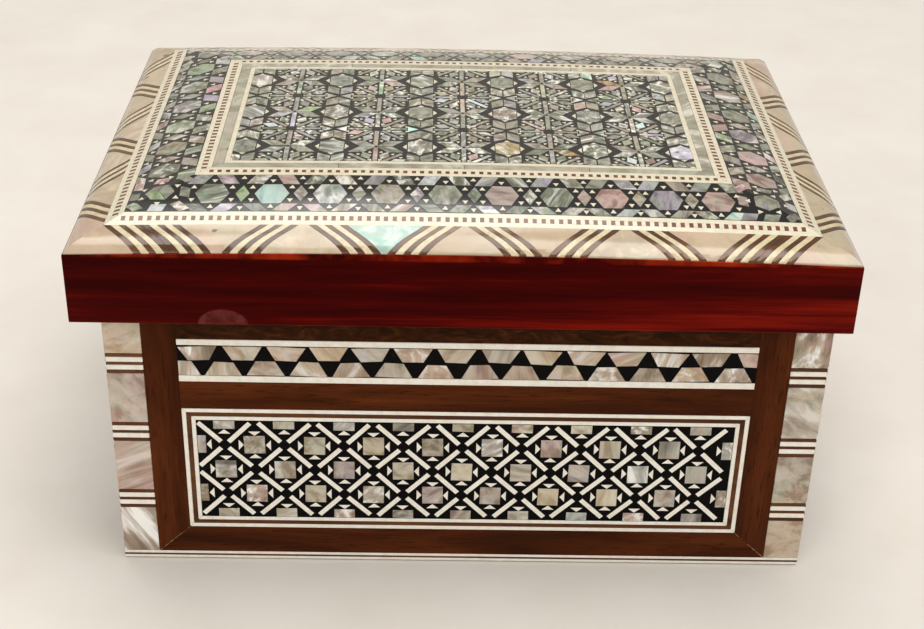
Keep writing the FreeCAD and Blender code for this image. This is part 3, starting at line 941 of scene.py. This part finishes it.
hex_places = [(PITCH * (i + 0.5), PITCH * j, 0) for i in range(-4, 4) for j in range(-2, 3)]
star_places = [(PITCH * i, PITCH * (j + 0.5), 0) for i in range(-3, 4) for j in range(-2, 2)]
# The rare pale pink, lilac, white-blue and mint grounds are painted flashes of tiles that catch the light.
panel_abalone = nacre(
    "panel_abalone",
    [(0.0, (124, 126, 108)), (0.14, (146, 141, 122)), (0.26, (112, 117, 102)), (0.38, (163, 150, 130)),
     (0.5, (130, 136, 117)), (0.6, (166, 146, 134)), (0.7, (139, 139, 124)), (0.8, (154, 150, 150)),
     (0.86, (122, 128, 110)), (0.895, (216, 174, 170)), (0.92, (156, 178, 132)), (0.94, (192, 181, 203)),
     (0.955, (132, 136, 119)), (0.97, (227, 234, 236)), (0.98, (161, 225, 203)), (0.99, (174, 134, 78))],
    [(0.3, (172, 148, 143)), (0.4, (130, 134, 114)), (0.48, (148, 163, 134)), (0.56, (139, 136, 122)),
     (0.64, (161, 156, 166)), (0.72, (174, 161, 139))],
    (236, 234, 223), 700, 260, **VARNISH)

PILLAR = [(-0.7, -3.3), (0.7, -3.3), (2.6, -2.3), (2.6, 2.3), (0.7, 3.3), (-0.7, 3.3), (-2.6, 2.3),
          (-2.6, -2.3)]
CHEVRON = [(0.1, 5.0), (2.75, 3.5), (2.75, 7.0), (0.1, 8.5)]
WING = [(3.5, 2.9), (5.9, 0.15), (9.25, 0.15), (6.9, 2.9)]
BOW = [(0.45, 0), (2.7, -1.35), (2.7, 1.35)]
END_POINT = [(-0.7, 3.45), (0.7, 3.45), (0, 4.3)]
SIDE_POINT = [(2.8, -1.3), (3.7, 0), (2.8, 1.3)]
shell, points = lay(PILLAR, panel_abalone, hex_places, 0.08), []
for outline in (CHEVRON, WING):
    for flips in ((1, 1), (-1, 1), (1, -1), (-1, -1)):
        shell += lay(mirrored(outline, *flips), panel_abalone, hex_places, 0.06)
halfway = [(x, y + PITCH / 2, 0) for x, y, _ in hex_places]
for sign in (1, -1):
    shell += lay(mirrored(BOW, sign, 1), panel_abalone, halfway, 0.05)
for outline in (END_POINT, SIDE_POINT):
    for sign in (1, -1):
        points += lay(mirrored(outline, sign, sign), lid_bone, hex_places, 0.04)
eighths = [(x, y, turn) for x, y, _ in star_places for turn in range(0, 360, 45)]
between = [(x, y, turn + 22.5) for x, y, turn in eighths]
# The slips of a star: the turns that they lie on, where they start and end, and half their width.
STAR_SLIPS = (((90, 270), 1.2, 8.9, 0.48), ((0, 180), 1.2, 6.4, 0.42), ((45, 135, 225, 315), 1.6, 7.9, 0.42))
for turns, near, far, thick in STAR_SLIPS:
    rays = [place for place in eighths if place[2] in turns]
    shell += lay(oblong(near, far, -thick, thick), panel_abalone, rays, 0.05)
shell += lay([(3.2, 0), (5.0, -1.2), (7.1, 0), (5.0, 1.2)], panel_abalone, between, 0.06)
points += lay([(2.0, 0), (3.1, -0.5), (3.1, 0.5)], lid_bone, between, 0.04)
for offset in (-12, 12):
    points += lay([(6.3, -0.42), (7.2, 0), (6.3, 0.42)], lid_bone,
                  [(x, y, turn + offset) for x, y, turn in between], 0.05)
panel_shell = assemble("lid_panel_shell", shell)
panel_points = assemble("lid_panel_points", points)
for sheet, slot in ((panel_shell, "abalone_mosaic"), (panel_points, "bone_string")):
    saw_to(sheet, panel_x - 0.05, -panel_y + 0.05, panel_y - 0.05)
    thicken(sheet, 0.07, 0.5)
    ease(sheet, 0.05)
    put_on_lid(sheet)

# ---- Linings ----
# Card covered with crimson velvet, glued to the walls, the floor and the inside of the lid.
# The nap catches the light at a slant and is brushed unevenly.

velvet = new_finish("crimson_velvet", Roughness=0.9, Sheen_Weight=0.8, Sheen_Roughness=0.35,
                    Sheen_Tint=colour(255, 150, 150), Specular_IOR_Level=0.15)
place = place_on(velvet)
brushed = noise(velvet, place, 28, 3, 0.5, 0.3)
nap = noise(velvet, place, 3500, 2, 0.6)
pile = shades(velvet, brushed, [(0.35, (102, 9, 19)), (0.5, (116, 13, 24)), (0.65, (132, 19, 31))])
depth = shades(velvet, nap, [(0.3, 0.45), (0.7, 1.0)])
give(velvet, "Base Color", mixed(velvet, 0.6, pile, depth, "MULTIPLY"))
bumps(velvet, nap, 0.0003, 0.8)


def covered_card(node, body, edge):
    """A card with soft, rolled edges in the space that a lining holds."""
    low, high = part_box(node)
    bpy.ops.mesh.primitive_cube_add(size=1, location=(low + high) / 2)
    card = bpy.context.object
    card.name = card.data.name = f"{node}_velvet"
    card.data.transform(Matrix.Diagonal((*(high - low - Vector((0.0001, 0.0001, 0.0001))), 1)))
    bpy.ops.object.transform_apply(location=True, rotation=False, scale=False)
    rounded(card, edge, 4, 30)
    apply_all(card)
    smooth(card, 40)
    card.data.materials.append(velvet)
    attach(card, body)
    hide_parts(node)


for side in SIDES:
    covered_card(f"{side}_wall_lining", "case", 0.0005)
covered_card("floor_lining", "case", 0.0006)
covered_card("lid_lining", "lid", 0.0006)

# ---- Base felt ----
# Thin dark felt under the case keeps it from scratching the table.

felt = new_finish("dark_felt", Roughness=0.95, Sheen_Weight=0.3, Specular_IOR_Level=0.1)
place = place_on(felt)
fibres = noise(felt, place, 1600, 5, 0.75, 2.0)
give(felt, "Base Color", shades(felt, fibres, [(0.35, (20, 24, 20)), (0.65, (52, 60, 50))]))
bumps(felt, fibres, 0.0003, 0.8)
dress(["base_felt"], felt)

# ---- Lid board ----
# The board under the mosaic, seen only as an edge inside the lid.

dress(["lid_board"], timber("lid_timber", 0, *PALE, 0.6))

# ---- Hinges ----
# Two small pressed brass butt hinges let in at the back, with their pins and screws. The
# brass has dulled, with fine scratches along the leaves.

brass = new_finish("brass", Metallic=1.0)
place = place_on(brass)
tarnish = noise(brass, place, 500, 4, 0.6)
scratches = noise(brass, stretched(brass, place, 0, 0.04), 4000, 2, 0.5)
give(brass, "Base Color", shades(brass, tarnish, [(0.35, (150, 118, 66)), (0.55, (182, 148, 88)),
                                                  (0.75, (196, 166, 106))]))
give(brass, "Roughness", shades(brass, mixed(brass, 0.5, tarnish, scratches), [(0.35, 0.25), (0.65, 0.5)]))
bumps(brass, scratches, 0.00003, 0.5)
hinge_nodes = [name for name in nodes if name.startswith("hinge_")]
dress(hinge_nodes, brass)
ease_edges([name for name in hinge_nodes if "leaf" in name], 0.00012)

# ---- Table, light and camera ----
# A pale plain table that runs up into a pale backdrop, two wide soft lamps, and the camera
# in front and above.

bpy.ops.mesh.primitive_plane_add(size=1)
table = bpy.context.object
table.name = table.data.name = "table"
table.data.transform(Matrix.Diagonal((4.0, 3.0, 1, 1)))
bpy.ops.object.mode_set(mode="EDIT")
bpy.ops.mesh.select_all(action="DESELECT")
bpy.ops.object.mode_set(mode="OBJECT")
for edge in table.data.edges:
    edge.select = all(table.data.vertices[v].co.y > 1.4 for v in edge.vertices)
bpy.ops.object.mode_set(mode="EDIT")
bpy.ops.mesh.select_mode(type="EDGE")
bpy.ops.mesh.extrude_region_move(TRANSFORM_OT_translate={"value": (0, 0, 2.5)})
bpy.ops.object.mode_set(mode="OBJECT")
sweep = table.modifiers.new("sweep", "BEVEL")
sweep.width = 0.8
sweep.segments = 16
apply_all(table)
pick(table)
bpy.ops.object.shade_smooth()
paper = new_finish("pale_paper", Roughness=0.85, Specular_IOR_Level=0.2)
place = place_on(paper)
mottle = noise(paper, place, 30, 4, 0.6)
give(paper, "Base Color", shades(paper, mottle, [(0.3, (214, 207, 196)), (0.7, (220, 214, 204))]))
table.data.materials.append(paper)


def soft_lamp(name, place, aim, width, height, power, tone):
    """A wide, soft lamp pointed at the box."""
    bpy.ops.object.light_add(type="AREA", location=place)
    lamp = bpy.context.object
    lamp.name = lamp.data.name = name
    lamp.data.shape = "RECTANGLE"
    lamp.data.size, lamp.data.size_y = width, height
    lamp.data.energy = power
    lamp.data.color = tone
    lamp.rotation_euler = (Vector(aim) - Vector(place)).to_track_quat("-Z", "Y").to_euler()


soft_lamp("overhead_lamp", (0.1, 0.08, 1.12), (0, 0, 0.05), width=1.4, height=0.7, power=13.5,
          tone=(1.0, 0.98, 0.95))
soft_lamp("front_lamp", (-0.5, -1.2, 0.9), (0, 0, 0.04), width=1.2, height=1.0, power=10,
          tone=(1.0, 0.98, 0.96))
world = bpy.data.worlds.new("studio")
bpy.context.scene.world = world
world.use_nodes = True
sky = world.node_tree.nodes["Background"].inputs
sky["Color"].default_value = (0.92, 0.94, 1.0, 1)
sky["Strength"].default_value = 0.35
bpy.context.scene.view_settings.view_transform = "Standard"

bpy.ops.object.camera_add(location=(-0.00684, -0.33179, 0.22508))
camera = bpy.context.object
camera.name = camera.data.name = "camera"
camera.rotation_euler = [math.radians(angle) for angle in (60.015, -1.349, -0.584)]
camera.data.sensor_width = 36
camera.data.lens = 61.83
camera.data.clip_start = 0.01
bpy.context.scene.camera = camera
